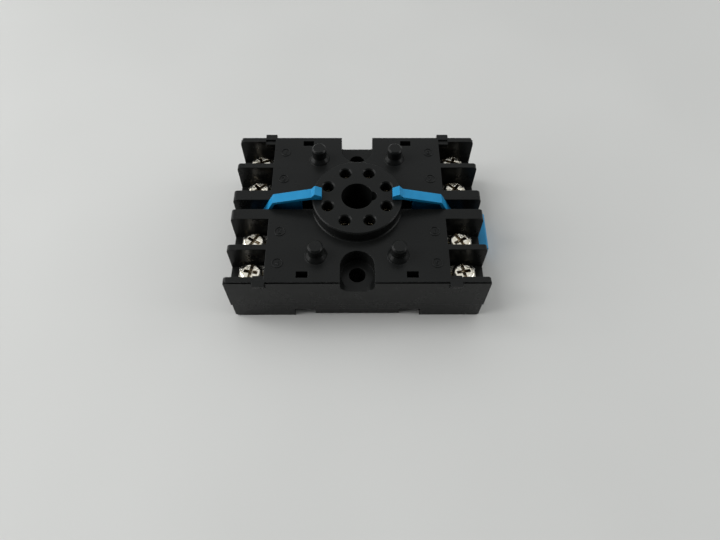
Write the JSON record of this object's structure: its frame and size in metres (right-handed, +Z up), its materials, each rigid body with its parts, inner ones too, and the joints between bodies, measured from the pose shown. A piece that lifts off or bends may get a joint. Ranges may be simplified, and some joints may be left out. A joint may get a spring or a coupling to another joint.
{
  "type": "relay socket",
  "caption": "Black plug-in relay socket with screw terminals, round octal disc, two blue folding retaining arms and a blue rail latch.",
  "frame": {"origin": "middle of the body's underside, below the centre of the octal pin circle", "axes": "+Z up through the socket disc, +Y along the rail towards the back, +X towards the end with the latch"},
  "size_m": [0.0741, 0.0526, 0.0258],
  "materials": {
    "black_plastic": "satin",
    "blue_plastic": "satin",
    "contact_brass": "bright",
    "plated_steel": "nickel plated"
  },
  "bodies": {
    "socket_body": {"upper_housing": "black_plastic", "base_cover": "black_plastic", "terminal_1": "contact_brass", "terminal_2": "contact_brass", "terminal_3": "contact_brass", "terminal_4": "contact_brass", "terminal_5": "contact_brass", "terminal_6": "contact_brass", "terminal_7": "contact_brass", "terminal_8": "contact_brass"},
    "left_arm": {"retaining_arm_left": "blue_plastic"},
    "right_arm": {"retaining_arm_right": "blue_plastic"},
    "latch": {"rail_latch": "blue_plastic"},
    "clamp_1": {"wire_clamp_1": "plated_steel"},
    "clamp_2": {"wire_clamp_2": "plated_steel"},
    "clamp_3": {"wire_clamp_3": "plated_steel"},
    "clamp_4": {"wire_clamp_4": "plated_steel"},
    "clamp_5": {"wire_clamp_5": "plated_steel"},
    "clamp_6": {"wire_clamp_6": "plated_steel"},
    "clamp_7": {"wire_clamp_7": "plated_steel"},
    "clamp_8": {"wire_clamp_8": "plated_steel"},
    "screw_1": {"terminal_screw_1": "plated_steel"},
    "screw_2": {"terminal_screw_2": "plated_steel"},
    "screw_3": {"terminal_screw_3": "plated_steel"},
    "screw_4": {"terminal_screw_4": "plated_steel"},
    "screw_5": {"terminal_screw_5": "plated_steel"},
    "screw_6": {"terminal_screw_6": "plated_steel"},
    "screw_7": {"terminal_screw_7": "plated_steel"},
    "screw_8": {"terminal_screw_8": "plated_steel"}
  },
  "joints": [
    {"name": "left_arm_hinge", "type": "hinge", "parent": "socket_body", "child": "left_arm", "pos_m": [-0.0292, 0, 0.013], "axis": [0, -1, 0], "range_deg": [0, 75]},
    {"name": "right_arm_hinge", "type": "hinge", "parent": "socket_body", "child": "right_arm", "pos_m": [0.0292, 0, 0.013], "axis": [0, 1, 0], "range_deg": [0, 75]},
    {"name": "latch_slide", "type": "slide", "parent": "socket_body", "child": "latch", "axis": [1, 0, 0], "range_m": [0, 0.003], "stiffness_N_per_m": 1500, "springref_m": -0.002},
    {"name": "clamp_1_lift", "type": "slide", "parent": "socket_body", "child": "clamp_1", "axis": [0, 0, 1], "range_m": [0, 0.0018]},
    {"name": "screw_1_turn", "type": "hinge", "parent": "clamp_1", "child": "screw_1", "pos_m": [-0.02895, 0.01922, 0.0122], "axis": [0, 0, 1], "range_deg": [0, 1080]},
    {"name": "clamp_2_lift", "type": "slide", "parent": "socket_body", "child": "clamp_2", "axis": [0, 0, 1], "range_m": [0, 0.0018]},
    {"name": "screw_2_turn", "type": "hinge", "parent": "clamp_2", "child": "screw_2", "pos_m": [-0.02895, 0.00918, 0.0122], "axis": [0, 0, 1], "range_deg": [0, 1080]},
    {"name": "clamp_3_lift", "type": "slide", "parent": "socket_body", "child": "clamp_3", "axis": [0, 0, 1], "range_m": [0, 0.0018]},
    {"name": "screw_3_turn", "type": "hinge", "parent": "clamp_3", "child": "screw_3", "pos_m": [-0.02895, -0.00918, 0.0122], "axis": [0, 0, 1], "range_deg": [0, 1080]},
    {"name": "clamp_4_lift", "type": "slide", "parent": "socket_body", "child": "clamp_4", "axis": [0, 0, 1], "range_m": [0, 0.0018]},
    {"name": "screw_4_turn", "type": "hinge", "parent": "clamp_4", "child": "screw_4", "pos_m": [-0.02895, -0.01922, 0.0122], "axis": [0, 0, 1], "range_deg": [0, 1080]},
    {"name": "clamp_5_lift", "type": "slide", "parent": "socket_body", "child": "clamp_5", "axis": [0, 0, 1], "range_m": [0, 0.0018]},
    {"name": "screw_5_turn", "type": "hinge", "parent": "clamp_5", "child": "screw_5", "pos_m": [0.02895, -0.01922, 0.0122], "axis": [0, 0, 1], "range_deg": [0, 1080]},
    {"name": "clamp_6_lift", "type": "slide", "parent": "socket_body", "child": "clamp_6", "axis": [0, 0, 1], "range_m": [0, 0.0018]},
    {"name": "screw_6_turn", "type": "hinge", "parent": "clamp_6", "child": "screw_6", "pos_m": [0.02895, -0.00918, 0.0122], "axis": [0, 0, 1], "range_deg": [0, 1080]},
    {"name": "clamp_7_lift", "type": "slide", "parent": "socket_body", "child": "clamp_7", "axis": [0, 0, 1], "range_m": [0, 0.0018]},
    {"name": "screw_7_turn", "type": "hinge", "parent": "clamp_7", "child": "screw_7", "pos_m": [0.02895, 0.00918, 0.0122], "axis": [0, 0, 1], "range_deg": [0, 1080]},
    {"name": "clamp_8_lift", "type": "slide", "parent": "socket_body", "child": "clamp_8", "axis": [0, 0, 1], "range_m": [0, 0.0018]},
    {"name": "screw_8_turn", "type": "hinge", "parent": "clamp_8", "child": "screw_8", "pos_m": [0.02895, 0.01922, 0.0122], "axis": [0, 0, 1], "range_deg": [0, 1080]}
  ],
  "couplings": [
    {"joint": "screw_1_turn", "follows": "clamp_1_lift", "rad_per_m": 10472},
    {"joint": "screw_2_turn", "follows": "clamp_2_lift", "rad_per_m": 10472},
    {"joint": "screw_3_turn", "follows": "clamp_3_lift", "rad_per_m": 10472},
    {"joint": "screw_4_turn", "follows": "clamp_4_lift", "rad_per_m": 10472},
    {"joint": "screw_5_turn", "follows": "clamp_5_lift", "rad_per_m": 10472},
    {"joint": "screw_6_turn", "follows": "clamp_6_lift", "rad_per_m": 10472},
    {"joint": "screw_7_turn", "follows": "clamp_7_lift", "rad_per_m": 10472},
    {"joint": "screw_8_turn", "follows": "clamp_8_lift", "rad_per_m": 10472}
  ]
}
